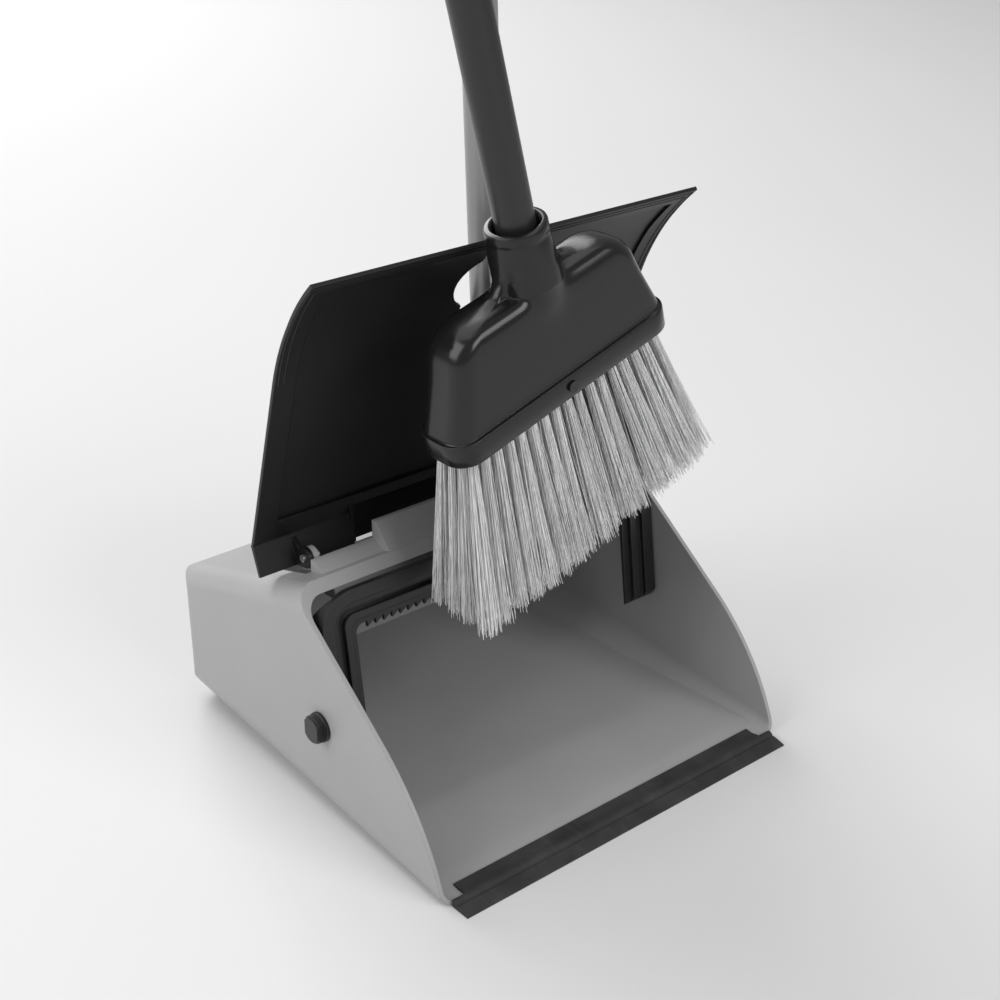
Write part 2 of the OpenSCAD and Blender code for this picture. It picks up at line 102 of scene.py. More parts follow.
# tufts: spread of their turn in degrees, and length from left to right
TUFT_TURN_SPREAD = 0.8
TUFT_LENGTH_MIDDLE = 0.98
TUFT_LENGTH_SLOPE = 0.05
STRAND_LENGTH_SPREAD = 0.012
BRISTLE_SEED = 11

# sections of the head from the skirt's foot up to the rim:
# height, half width, half depth, corner radius, radius of the neck
HEAD_SECTIONS = (
    (-113.4, 89.4, 21.4, 15.4, 0.0),
    (-112.6, 90.0, 22.0, 16.0, 0.0),
    (-106.0, 90.0, 22.0, 16.0, 0.0),
    (-99.6, 90.0, 22.0, 16.0, 0.0),
    (-98.8, 89.7, 21.7, 15.7, 0.0),
    (-98.5, 89.0, 21.0, 15.0, 0.0),
    (-98.5, 88.4, 20.2, 14.2, 0.0),
    (-98.1, 87.8, 19.5, 13.5, 0.0),
    (-97.0, 87.3, 19.3, 13.0, 0.0),
    (-92.0, 85.4, 19.2, 12.5, 0.0),
    (-84.0, 82.3, 18.9, 12.0, 0.0),
    (-76.0, 79.6, 18.6, 12.0, 0.0),
    (-68.0, 77.0, 18.3, 12.0, 8.0),
    (-60.0, 74.8, 18.0, 12.0, 14.0),
    (-54.0, 73.2, 17.8, 12.0, 17.0),
    (-50.5, 71.6, 17.6, 12.0, 18.4),
    (-47.0, 69.4, 17.3, 12.0, 19.2),
    (-44.0, 66.6, 16.7, 12.0, 19.9),
    (-41.6, 63.4, 15.6, 11.5, 20.4),
    (-39.8, 60.0, 14.0, 11.0, 20.8),
    (-38.6, 56.4, 12.2, 10.5, 21.0),
    (-38.0, 52.0, 10.0, 9.5, 21.1),
    (-37.8, 46.0, 8.0, 7.5, 21.2),
    (-37.6, 39.0, 6.5, 6.0, 21.2),
    (-37.0, 33.5, 5.5, 5.0, 21.2),
    (-35.6, 29.0, 5.0, 4.5, 21.1),
    (-33.0, 25.4, 5.0, 4.5, 20.9),
    (-29.0, 21.0, 5.0, 4.5, 20.6),
    (-24.0, 0.0, 0.0, 0.0, 20.2),
    (-16.0, 0.0, 0.0, 0.0, 19.4),
    (-9.0, 0.0, 0.0, 0.0, 18.7),
    (-7.4, 0.0, 0.0, 0.0, 18.4),
    (-6.6, 0.0, 0.0, 0.0, 18.6),
    (-5.6, 0.0, 0.0, 0.0, 18.8),
    (-1.6, 0.0, 0.0, 0.0, 18.8),
    (-0.5, 0.0, 0.0, 0.0, 18.4),
    (0.0, 0.0, 0.0, 0.0, 17.6),
    (0.0, 0.0, 0.0, 0.0, 15.6),
    (-0.8, 0.0, 0.0, 0.0, 14.6),
    (-5.0, 0.0, 0.0, 0.0, 13.2),
    (-9.0, 0.0, 0.0, 0.0, BORE_RADIUS),
    (-BORE_DEPTH, 0.0, 0.0, 0.0, BORE_RADIUS),
)
# the oval that shares a round section's points out
ROUND_GUIDE = (27.0, 17.0, 12.0)

# the lid, as it lies on the closed pan: arc of the mouth's edge, border and hinge
LID_ARC_AT = (12.92, -48.3)
LID_ARC_RADIUS = 167.7
LID_GAP = 1.2
LID_TIP_TURN = 157.3
LID_BEND_TURN = 127.0
LID_HINGE = Vector((0.0, 29.0, 154.0)) * MM
LID_OPEN = math.radians(108.8)
# half width of the lid at its tip, and how much narrower it is at its bend
LID_HALF_AT_TIP = 149.5
LID_NARROWING = 3.5
# thin lines round the lid's border: inset and radius
LID_BEADS = ((3.2, 0.5), (7.2, 0.4))
LID_BEAD_STEPS = 24

# the camera stands to the left of the mouth and looks down at the pan
CAMERA_AT = Vector((-0.6216, -0.7729, 0.6639))
CAMERA_RIGHT = Vector((0.7687, -0.6396, 0.0))
CAMERA_UP = Vector((0.2855, 0.3431, 0.8949))
CAMERA_LENS = 60.7
CAMERA_SENSOR = 36.0
CAMERA_CLIP = 50.0

# the studio: floor, surrounding light and lamps
FLOOR_REACH = 12.0
STUDIO_LIGHT = 0.32
MIDDLE = (0.0, 0.0, 0.15)
# lamps: name, place, point lit, size and power
SIDE_LAMP = ("side_light", (-1.9, 0.3, 1.3), MIDDLE, (1.6, 1.6))
LAMPS = (
    ("top_light", (-0.2, 0.7, 2.4), MIDDLE, (2.2, 2.2), 16.0),
    ("front_light", (0.3, -2.2, 1.5), MIDDLE, (1.8, 1.2), 31.0),
    ("back_light", (0.4, 3.4, 2.6), (0.3, 2.2, 0.0), (3.0, 2.0), 120.0),
)


# ------------------------------------------------------------- shader maths


class Value:
    """A shader output that takes Python arithmetic; each step adds a Math node."""

    def __init__(self, shader, socket):
        self.shader = shader
        self.socket = socket

    def step(self, operation, *others):
        made = self.shader.node(
            "ShaderNodeMath",
            {"operation": operation},
            dict(enumerate((self,) + others)),
        )
        return self.shader.out(made)

    def reverse(self, operation, first):
        made = self.shader.node(
            "ShaderNodeMath", {"operation": operation}, {0: first, 1: self}
        )
        return self.shader.out(made)

    def __add__(self, other):
        return self.step("ADD", other)

    def __radd__(self, other):
        return self.reverse("ADD", other)

    def __sub__(self, other):
        return self.step("SUBTRACT", other)

    def __rsub__(self, other):
        return self.reverse("SUBTRACT", other)

    def __mul__(self, other):
        return self.step("MULTIPLY", other)

    def __rmul__(self, other):
        return self.reverse("MULTIPLY", other)

    def clamped(self):
        return self.step("MAXIMUM", 0.0).step("MINIMUM", 1.0)


class Shader:
    """One material and its nodes."""

    def __init__(self, name):
        self.material = bpy.data.materials.new(name)
        self.material.use_nodes = True
        self.tree = self.material.node_tree
        self.tree.nodes.clear()

    def node(self, kind, settings=None, inputs=None):
        made = self.tree.nodes.new(kind)
        for key, value in (settings or {}).items():
            setattr(made, key, value)
        for key, value in (inputs or {}).items():
            if isinstance(value, Value):
                self.tree.links.new(value.socket, made.inputs[key])
            else:
                made.inputs[key].default_value = value
        return made

    def out(self, made, key=0):
        return Value(self, made.outputs[key])

    def place(self, scale=(1.0, 1.0, 1.0), turn=(0.0, 0.0, 0.0)):
        """The piece's own coordinates, stretched and turned."""
        coords = self.out(self.node("ShaderNodeTexCoord"), "Object")
        mapped = self.node(
            "ShaderNodeMapping",
            {"vector_type": "POINT"},
            {"Vector": coords, "Rotation": turn, "Scale": scale},
        )
        return self.out(mapped)

    def noise(self, vector, scale, detail=2.0, rough=0.5):
        made = self.node(
            "ShaderNodeTexNoise",
            None,
            {"Vector": vector, "Scale": scale, "Detail": detail, "Roughness": rough},
        )
        return self.out(made, "Fac")

    def ramp(self, factor, low, high):
        """Maps low..high of a factor onto 0..1, smoothly."""
        made = self.node(
            "ShaderNodeMapRange",
            {"interpolation_type": "SMOOTHSTEP"},
            {"Value": factor, "From Min": low, "From Max": high},
        )
        return self.out(made)

    def mix(self, factor, first, second):
        made = self.node(
            "ShaderNodeMix",
            {"data_type": "RGBA"},
            {0: factor, 6: first, 7: second},
        )
        return self.out(made, 2)

    def finish(self, colour, roughness, normal, constants):
        """Joins the varying inputs to one surface and sets the steady ones."""
        inputs = {"Base Color": colour, "Roughness": roughness}
        if normal is not None:
            inputs["Normal"] = normal
        inputs.update(constants)
        surface = self.node("ShaderNodeBsdfPrincipled", None, inputs)
        self.node(
            "ShaderNodeOutputMaterial", None, {"Surface": self.out(surface)}
        )
        return self.material


def tone(colour, factor):
    """A colour made lighter or darker, with full alpha."""
    return tuple(min(1.0, channel * factor) for channel in colour[:3]) + (1.0,)


def moulded_plastic(name, colour, rough, grain=900.0, depth=0.00002, edge=0.0009, wear=0.5):
    """Moulded plastic: fine grain, clouded gloss, faint rubs and softened edges."""
    shader = Shader(name)
    where = shader.place()
    cloud = shader.noise(where, 14.0, 4.0, 0.6)
    speckle = shader.noise(where, grain, 2.0, 0.6)
    rub = shader.ramp(
        shader.noise(shader.place((60.0, 260.0, 30.0), (0.3, 0.2, 0.5)), 1.0, 5.0, 0.7),
        0.58,
        0.74,
    )
    base = shader.mix(cloud, tone(colour, 0.93), tone(colour, 1.07))
    base = shader.mix(rub * (0.22 * wear), base, tone(colour, 1.5))
    fleck = shader.ramp(shader.noise(where, 420.0, 2.0, 0.5), 0.69, 0.76)
    base = shader.mix(fleck * (0.16 * wear), base, tone(colour, 0.55))
    gloss = rough + (cloud - 0.5) * 0.16 + rub * (0.12 * wear)
    rounded = shader.out(
        shader.node("ShaderNodeBevel", {"samples": 6}, {"Radius": edge})
    )
    bump = shader.node(
        "ShaderNodeBump",
        None,
        {"Strength": 0.5, "Distance": depth, "Height": speckle, "Normal": rounded},
    )
    return shader.finish(
        base, gloss.clamped(), shader.out(bump), {"Specular IOR Level": 0.45}
    )


def soft_rubber(name, colour):
    """Soft rubber: matt, slightly mottled, paler where it rubs on the floor."""
    shader = Shader(name)
    where = shader.place()
    cloud = shader.noise(where, 30.0, 5.0, 0.65)
    streak = shader.noise(shader.place((300.0, 20.0, 20.0)), 1.0, 4.0, 0.6)
    grit = shader.noise(where, 1400.0, 2.0, 0.6)
    base = shader.mix(shader.ramp(cloud, 0.35, 0.7), tone(colour, 0.8), tone(colour, 1.5))
    base = shader.mix(shader.ramp(streak, 0.55, 0.75) * 0.4, base, tone(colour, 2.2))
    rounded = shader.out(
        shader.node("ShaderNodeBevel", {"samples": 6}, {"Radius": 0.0008})
    )
    bump = shader.node(
        "ShaderNodeBump",
        None,
        {"Strength": 0.6, "Distance": 0.00005, "Height": grit + streak * 0.5, "Normal": rounded},
    )
    gloss = 0.5 + cloud * 0.25
    return shader.finish(base, gloss, shader.out(bump), {"Specular IOR Level": 0.35})


def painted_tube(name, colour, rough, metallic, axis_turn):
    """Painted steel tube: long drawn streaks, tiny chips and a soft sheen."""
    shader = Shader(name)
    along = shader.place((900.0, 900.0, 14.0), axis_turn)
    streak = shader.noise(along, 1.0, 3.0, 0.6)
    cloud = shader.noise(shader.place(), 22.0, 3.0, 0.6)
    chip = shader.ramp(shader.noise(shader.place(), 260.0, 2.0, 0.5), 0.73, 0.77)
    base = shader.mix(streak, tone(colour, 0.93), tone(colour, 1.06))
    base = shader.mix(chip * 0.3, base, tone(colour, 0.45))
    gloss = rough + (cloud - 0.5) * 0.1 + streak * 0.05
    bump = shader.node(
        "ShaderNodeBump",
        None,
        {"Strength": 0.25, "Distance": 0.00002, "Height": streak - chip},
    )
    return shader.finish(
        base,
        gloss.clamped(),
        shader.out(bump),
        {"Metallic": metallic, "Specular IOR Level": 0.5},
    )


def fibre(name, colour):
    """Pale synthetic fibre: each strand a little lighter or darker, in soft patches."""
    shader = Shader(name)
    strand = shader.noise(shader.place((1300.0, 1300.0, 25.0)), 1.0, 2.0, 0.6)
    cloud = shader.noise(shader.place(), 45.0, 3.0, 0.6)
    base = shader.mix(shader.ramp(strand, 0.3, 0.7), tone(colour, 0.72), tone(colour, 1.18))
    base = shader.mix(shader.ramp(cloud, 0.45, 0.8) * 0.35, base, tone(colour, 0.75))
    gloss = 0.42 + strand * 0.2
    return shader.finish(base, gloss, None, {"Specular IOR Level": 0.4})


def plated_steel(name, colour):
    """Zinc-plated steel: cloudy spangle with fine turning marks."""
    shader = Shader(name)
    where = shader.place()
    cloud = shader.noise(where, 160.0, 4.0, 0.6)
    marks = shader.noise(shader.place((2600.0, 300.0, 2600.0)), 1.0, 2.0, 0.6)
    base = shader.mix(cloud, tone(colour, 0.8), tone(colour, 1.1))
    gloss = 0.26 + cloud * 0.2
    bump = shader.node(
        "ShaderNodeBump", None, {"Strength": 0.3, "Distance": 0.00002, "Height": marks}
    )
    return shader.finish(base, gloss, shader.out(bump), {"Metallic": 0.9})


# --------------------------------------------------------------- mesh tools


def held_frame():
    """Where the upright broom stands in the row frame."""
    turn_x, turn_y, turn_z = (math.radians(angle) for angle in COLLAR_TURN)
    turn = (
        Matrix.Rotation(turn_z, 4, "Z")
        @ Matrix.Rotation(turn_y, 4, "Y")
        @ Matrix.Rotation(turn_x, 4, "X")
    )
    return Matrix.Translation(COLLAR_AT) @ turn


def show(name, mesh, body, material, replaced=None):
    """Links a finished mesh as a piece of the object."""
    piece = bpy.data.objects.new(name, mesh)
    bpy.context.scene.collection.objects.link(piece)
    mesh.materials.clear()
    mesh.materials.append(material)
    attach(piece, body)
    if replaced:
        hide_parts(replaced)
    return piece


def soften(bm, angle):
    """Smooth shading, with the edges sharper than the angle kept crisp."""
    for face in bm.faces:
        face.smooth = True
    for edge in bm.edges:
        edge.smooth = len(edge.link_faces) == 2 and edge.calc_face_angle(0.0) < angle


def weigh_normals(piece):
    """Keeps broad flat faces flat beside their rounded edges."""
    weighted = piece.modifiers.new("even shading", "WEIGHTED_NORMAL")
    weighted.mode = "FACE_AREA"
    weighted.weight = 50
    weighted.keep_sharp = True


def moulded_copy(node, body, material, angle=28.0):
    """A smooth-shaded copy of a CAD node that is shown in its place."""
    bm = bmesh.new()
    bm.from_mesh(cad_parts[node].data)
    bmesh.ops.remove_doubles(bm, verts=bm.verts, dist=0.00002)
    bmesh.ops.dissolve_degenerate(bm, edges=bm.edges, dist=0.00001)
    soften(bm, math.radians(angle))
    mesh = bpy.data.meshes.new("shown_" + node)
    bm.to_mesh(mesh)
    bm.free()
    piece = show("shown_" + node, mesh, body, material, node)
    weigh_normals(piece)
    return piece


def oval_point(share, half_width, half_depth, corner):
    """A point of a rounded rectangle, at a share of the way round it."""
    quarter = int(share * 4.0) % 4
    along = share * 4.0 - int(share * 4.0)
    if quarter in (1, 3):
        along = 1.0 - along
    bend = corner * math.pi / 2.0
    run = along * (half_depth - corner + bend + half_width - corner)
    if run < half_depth - corner:
        across, deep = half_width, run
    elif run < half_depth - corner + bend:
        turn = (run - half_depth + corner) / corner
        across = half_width - corner + corner * math.cos(turn)
        deep = half_depth - corner + corner * math.sin(turn)
    else:
        across = half_width - corner - (run - half_depth + corner - bend)
        deep = half_depth
    if quarter in (1, 2):
        across = -across
    if quarter in (2, 3):
        deep = -deep
    return across, deep


def section_point(share, half_width, half_depth, corner, neck):
    """A point of one head section: a rounded oval swollen to clear the neck."""
    if half_width <= 0.0:
        across, deep = oval_point(share, *ROUND_GUIDE)
        turn = math.atan2(deep, across)
        return neck * math.cos(turn), neck * math.sin(turn)
    across, deep = oval_point(share, half_width, half_depth, corner)
    reach = math.hypot(across, deep)
    swollen = (reach**NECK_BLEND + neck**NECK_BLEND) ** (1.0 / NECK_BLEND)
    return across * swollen / reach, deep * swollen / reach


def drawn_ring(bm, edges, section):
    """Extrudes a ring of edges and moves the new ring to a section."""
    made = bmesh.ops.extrude_edge_only(bm, edges=edges)["geom"]
    verts = [item for item in made if isinstance(item, bmesh.types.BMVert)]
    ring = [item for item in made if isinstance(item, bmesh.types.BMEdge)]
    place_ring(bm, verts, section)
    return ring


def place_ring(bm, verts, section):
    """Moves a ring of vertices onto a head section, each at its own share."""
    share_of = bm.verts.layers.float["share"]
    height, half_width, half_depth, corner, neck = section
    for vert in verts:
        across, deep = section_point(
            vert[share_of], half_width, half_depth, corner, neck
        )
        vert.co = Vector((across, deep, height)) * MM


# ---------------------------------------------------------------- settings


class PanSettings(bpy.types.PropertyGroup):
    """Colours of the pan, its lid and its lip."""

    pan_colour: bpy.props.FloatVectorProperty(
        name="Pan colour",
        description="Colour of the pan's plastic",
        default=(0.36, 0.36, 0.36),
        subtype="COLOR",
        min=0.0,
        max=1.0,
    )
    lid_colour: bpy.props.FloatVectorProperty(
        name="Lid colour",
        description="Colour of the lid's plastic",
        default=(0.005, 0.005, 0.005),
        subtype="COLOR",
        min=0.0,
        max=1.0,
    )
    lip_colour: bpy.props.FloatVectorProperty(
        name="Lip colour",
        description="Colour of the soft strip along the lip",
        default=(0.03, 0.03, 0.03),
        subtype="COLOR",
        min=0.0,
        max=1.0,
    )
    frame_colour: bpy.props.FloatVectorProperty(
        name="Frame colour",
        description="Colour of the pivot frame and its knobs",
        default=(0.014, 0.014, 0.014),
        subtype="COLOR",
        min=0.0,
        max=1.0,
    )
    edge_round: bpy.props.FloatProperty(
        name="Edge rounding",
        description="Radius that the moulded edges are softened by",
        default=0.0009,
        subtype="DISTANCE",
        unit="LENGTH",
    )


class PoleSettings(bpy.types.PropertyGroup):
    """Colour of the pan's pole."""

    pole_colour: bpy.props.FloatVectorProperty(
        name="Pole colour",
        description="Colour of the paint on the pan's pole",
        default=(0.27, 0.27, 0.27),
        subtype="COLOR",
        min=0.0,
        max=1.0,
    )


class BroomSettings(bpy.types.PropertyGroup):
    """Colours of the broom and the fineness of its bristles."""

    head_colour: bpy.props.FloatVectorProperty(
        name="Head colour",
        description="Colour of the head's plastic",
        default=(0.0085, 0.0085, 0.0085),
        subtype="COLOR",
        min=0.0,
        max=1.0,
    )
    tube_colour: bpy.props.FloatVectorProperty(
        name="Tube colour",
        description="Colour of the paint on the broom's tube",
        default=(0.022, 0.022, 0.022),
        subtype="COLOR",
        min=0.0,
        max=1.0,
    )
    fibre_colour: bpy.props.FloatVectorProperty(
        name="Bristle colour",
        description="Colour of the bristles",
        default=(0.82, 0.82, 0.82),
        subtype="COLOR",
        min=0.0,
        max=1.0,
    )
    strands: bpy.props.IntProperty(
        name="Strands in a tuft",
        description="Number of bristles in each tuft",
        default=85,
        min=10,
        max=100,
    )
    strand_radius: bpy.props.FloatProperty(
        name="Strand radius",
        description="Radius of one bristle",
        default=0.00022,
        subtype="DISTANCE",
        unit="LENGTH",
    )


class StageSettings(bpy.types.PropertyGroup):
    """Floor and light round the object."""

    floor_tone: bpy.props.FloatProperty(
        name="Floor tone",
        description="Lightness of the floor near the object",
        default=0.66,
        min=0.0,
        max=1.0,
    )
    key_power: bpy.props.FloatProperty(
        name="Side light",
        description="Power of the broad light on the left",
        default=24.0,
        subtype="POWER",
        unit="POWER",
    )


# ---------------------------------------------------------------- operators


class SWEEP_OT_pan(bpy.types.Operator):
    """Shows the pan's body and the pins that its lid turns on"""

    bl_idname = "sweep.pan"
    bl_label = "Pan"

    def execute(self, context):
        look = context.scene.sweep_pan
        plastic = moulded_plastic("pan_grey", look.pan_colour, 0.42, edge=look.edge_round)
        moulded_copy("pan_body", "pan", plastic, 24.0)
        steel = plated_steel("pin_steel", (0.6, 0.6, 0.6))
        moulded_copy("hinge_pin_left", "pan", steel)
        moulded_copy("hinge_pin_right", "pan", steel)
        return {"FINISHED"}


class SWEEP_OT_lip(bpy.types.Operator):
    """Shows the soft strip along the pan's lip"""

    bl_idname = "sweep.lip"
    bl_label = "Lip strip"

    def execute(self, context):
        look = context.scene.sweep_pan
        rubber = soft_rubber("lip_rubber", look.lip_colour)
        moulded_copy("lip_strip", "pan", rubber, 20.0)
        return {"FINISHED"}


def lid_place(across, turn):
    """A point of the open lid's inner face, by its turn along the closed arc."""
    radius = LID_ARC_RADIUS + LID_GAP
    closed = Vector((
        across,
        LID_ARC_AT[0] + radius * math.cos(math.radians(turn)),
        LID_ARC_AT[1] + radius * math.sin(math.radians(turn)),
    ))
    opened = Matrix.Rotation(-LID_OPEN, 4, "X") @ (closed * MM - LID_HINGE)
    return opened + LID_HINGE


def add_lid_bead(mesh, inset, radius):
    """Runs a thin raised line round the lid's border, on its inner face."""
    millimetre_turn = math.degrees(1.0 / LID_ARC_RADIUS)
    tip = LID_TIP_TURN - inset * millimetre_turn
    turns = [
        LID_BEND_TURN + (tip - LID_BEND_TURN) * step / LID_BEAD_STEPS
        for step in range(LID_BEAD_STEPS + 1)
    ]
    narrowing = LID_NARROWING / (LID_TIP_TURN - LID_BEND_TURN)
    half = [LID_HALF_AT_TIP - narrowing * (LID_TIP_TURN - turn) - inset for turn in turns]
    path = [lid_place(-width, turn) for width, turn in zip(half, turns)]
    path += [lid_place(width, turn) for width, turn in reversed(list(zip(half, turns)))]
    curve = bpy.data.curves.new("bead", "CURVE")
    curve.dimensions = "3D"
    curve.bevel_depth = radius * MM
    curve.bevel_resolution = 2
    curve.use_fill_caps = True
    spline = curve.splines.new("POLY")
    spline.points.add(len(path) - 1)
    spline.points.foreach_set("co", [value for point in path for value in (*point, 1.0)])
    holder = bpy.data.objects.new("bead", curve)
    bpy.context.scene.collection.objects.link(holder)
    bpy.context.view_layer.update()
    bead = bpy.data.meshes.new_from_object(holder)
    bm = bmesh.new()
    bm.from_mesh(mesh)
    bm.from_mesh(bead)
    for face in bm.faces:
        face.material_index = 0
        face.smooth = True
    bm.to_mesh(mesh)
    bm.free()
    bpy.data.objects.remove(holder)
    bpy.data.curves.remove(curve)
    bpy.data.meshes.remove(bead)


class SWEEP_OT_lid(bpy.types.Operator):
    """Shows the curved lid"""

    bl_idname = "sweep.lid"
    bl_label = "Lid"

    def execute(self, context):
        look = context.scene.sweep_pan
        plastic = moulded_plastic(
            "lid_black", look.lid_colour, 0.46, 700.0, 0.00003, look.edge_round
        )
        lid = moulded_copy("lid", "lid", plastic, 20.0)
        for inset, radius in LID_BEADS:
            add_lid_bead(lid.data, inset, radius)
        return {"FINISHED"}


class SWEEP_OT_frame(bpy.types.Operator):
    """Shows the pivot frame and the knobs on its shafts"""

    bl_idname = "sweep.frame"
    bl_label = "Pivot frame"

    def execute(self, context):
        look = context.scene.sweep_pan
        plastic = moulded_plastic(
            "frame_black", look.frame_colour, 0.36, 800.0, 0.00002, look.edge_round
        )
        moulded_copy("pivot_frame", "pole", plastic)
        moulded_copy("pivot_knob_left", "pole", plastic)
        moulded_copy("pivot_knob_right", "pole", plastic)
        return {"FINISHED"}


class SWEEP_OT_pole(bpy.types.Operator):
    """Shows the pan's pole, its screw and its end cap"""

    bl_idname = "sweep.pole"
    bl_label = "Pole"

    def execute(self, context):
        look = context.scene.sweep_pole
        paint = painted_tube("pole_grey", look.pole_colour, 0.3, 0.35, (0.042, 0.0, 0.0))
        steel = plated_steel("screw_steel", (0.6, 0.6, 0.6))
        dark = moulded_plastic("cap_black", (0.02, 0.02, 0.02), 0.4)
        moulded_copy("pole_tube", "pole", paint)
        moulded_copy("pole_screw", "pole", steel)
        moulded_copy("pole_cap", "pole", dark)
        return {"FINISHED"}


class SWEEP_OT_head(bpy.types.Operator):
    """Draws the broom's head as one smooth shell from skirt to collar"""

    bl_idname = "sweep.head"
    bl_label = "Broom head"

    def execute(self, context):
        look = context.scene.sweep_broom
        bm = bmesh.new()
        share_of = bm.verts.layers.float.new("share")
        made = bmesh.ops.create_circle(bm, cap_ends=False, segments=RING_POINTS, radius=1.0)
        for vert in made["verts"]:
            vert[share_of] = (math.atan2(vert.co.y, vert.co.x) / math.tau) % 1.0
        hollow = tuple(half - BLOCK_INSET for half in SKIRT_HALF) + (HOLLOW_CORNER, 0.0)
        place_ring(bm, made["verts"], (HOLLOW_ROOF - HEAD_HEIGHT,) + hollow)
        bmesh.ops.contextual_create(bm, geom=list(bm.edges))
        ring = [edge for edge in bm.edges if len(edge.link_faces) == 1]
        mouth = (FOOT_RISE - HEAD_HEIGHT,) + hollow
        foot = tuple(half - FOOT_INSET for half in SKIRT_HALF) + (FOOT_CORNER, 0.0)
        for section in (mouth, (-HEAD_HEIGHT,) + foot) + HEAD_SECTIONS:
            ring = drawn_ring(bm, ring, section)
        bmesh.ops.contextual_create(bm, geom=ring)
        bmesh.ops.recalc_face_normals(bm, faces=bm.faces)
        soften(bm, math.radians(HEAD_SHARP_EDGE))
        bmesh.ops.transform(bm, matrix=held_frame(), verts=bm.verts)
        mesh = bpy.data.meshes.new("shown_broom_head")
        bm.to_mesh(mesh)
        bm.free()
        plastic = moulded_plastic("head_black", look.head_colour, 0.22, 650.0, 0.00001, 0.0006)
        show("shown_broom_head", mesh, "broom", plastic, "broom_head")
        return {"FINISHED"}


class SWEEP_OT_block(bpy.types.Operator):
    """Shows the block that holds the tufts and its screw"""

    bl_idname = "sweep.block"
    bl_label = "Bristle block"

    def execute(self, context):
        grey = moulded_plastic("block_grey", (0.16, 0.16, 0.16), 0.5)
        steel = plated_steel("block_steel", (0.06, 0.06, 0.06))
        moulded_copy("bristle_block", "broom", grey)
        moulded_copy("block_screw", "broom", steel)
        return {"FINISHED"}


def strand_points(rng, root, axis, side, length, stray):
    """Five points of one bristle: straight at the root, bowed and splayed below."""
    round_turn = rng.uniform(0.0, math.tau)
    spread = math.sqrt(rng.random())
    start = side @ Vector((math.cos(round_turn), math.sin(round_turn), 0.0))
    splay = TUFT_TIP_RADIUS + TUFT_TIP_SPREAD * rng.random() + stray
    wander = Vector((rng.gauss(0.0, WANDER_SPREAD), rng.gauss(0.0, WANDER_SPREAD), 0.0))
    bow = Vector((rng.gauss(0.0, BOW_SPREAD), rng.gauss(0.0, BOW_SPREAD), 0.0))
    points = []
    for share in STRAND_SHARES:
        away = TUFT_ROOT_RADIUS + (splay - TUFT_ROOT_RADIUS) * share**SPLAY_CURVE
        place = root + axis * (length * share) + start * (away * spread)
        place += bow * math.sin(math.pi * share) * BOW_REACH
        place += wander * share**3 * WANDER_REACH
        points.append(place)
    return points


def row_of_tufts(name, place, lean, count, look, rng):
    """All strands of one row, as one mesh."""
    curve = bpy.data.curves.new(name, "CURVE")
    curve.dimensions = "3D"
    curve.bevel_depth = look.strand_radius / MM
    curve.bevel_resolution = 0
    curve.use_fill_caps = True
    for index in range(count):
        share = 2.0 * index / (count - 1) - 1.0
        fan = math.radians(share * TUFT_FAN + rng.gauss(0.0, TUFT_TURN_SPREAD))
        tip = math.radians(lean + rng.gauss(0.0, TUFT_TURN_SPREAD))
        side = Matrix.Rotation(-tip, 3, "X") @ Matrix.Rotation(-fan, 3, "Y")
        axis = side @ Vector((0.0, 0.0, -1.0))
        root = Vector((share * TUFT_SPAN / 2.0, place * ROW_PITCH, TUFT_ROOT - HEAD_HEIGHT))
        full = BRISTLE_LENGTH / math.cos(math.radians(TUFT_FAN))
        full = full * (TUFT_LENGTH_MIDDLE - TUFT_LENGTH_SLOPE * share) + TUFT_ROOT
        for number in range(look.strands):
            stray = STRAY_REACH * rng.random() if rng.random() < STRAY_CHANCE else 0.0
            length = full * (1.0 - abs(rng.gauss(0.0, STRAND_LENGTH_SPREAD)))
            points = strand_points(rng, root, axis, side, length, stray)
            spline = curve.splines.new("POLY")
            spline.points.add(len(points) - 1)
            flat = [value for point in points for value in (*point, 1.0)]
            spline.points.foreach_set("co", flat)
            spline.points.foreach_set("radius", STRAND_TAPER)
    holder = bpy.data.objects.new(name + "_drawn", curve)
    bpy.context.scene.collection.objects.link(holder)
    bpy.context.view_layer.update()
    mesh = bpy.data.meshes.new_from_object(holder)
    bpy.data.objects.remove(holder)
    bpy.data.curves.remove(curve)
    mesh.transform(held_frame() @ Matrix.Scale(MM, 4))
    for polygon in mesh.polygons:
        polygon.use_smooth = True
    return mesh


class SWEEP_OT_bristles(bpy.types.Operator):
    """Draws the four rows of tufts, strand by strand"""

    bl_idname = "sweep.bristles"
    bl_label = "Bristles"

    def execute(self, context):
        look = context.scene.sweep_broom
        material = fibre("bristle_fibre", look.fibre_colour)
        rng = random.Random(BRISTLE_SEED)
        for node, place, lean, count in ROWS:
            mesh = row_of_tufts("shown_" + node, place, lean, count, look, rng)
            show("shown_" + node, mesh, "broom", material, node)
        return {"FINISHED"}


class SWEEP_OT_stick(bpy.types.Operator):
    """Shows the broom's tube and its end cap"""

    bl_idname = "sweep.stick"
    bl_label = "Broom tube"

    def execute(self, context):
        look = context.scene.sweep_broom
        paint = painted_tube("tube_slate", look.tube_colour, 0.3, 0.2, (0.13, 0.17, 0.0))
        dark = moulded_plastic("tube_cap_black", (0.02, 0.02, 0.02), 0.4)
        moulded_copy("broom_tube", "broom", paint)
        moulded_copy("broom_cap", "broom", dark)
        return {"FINISHED"}


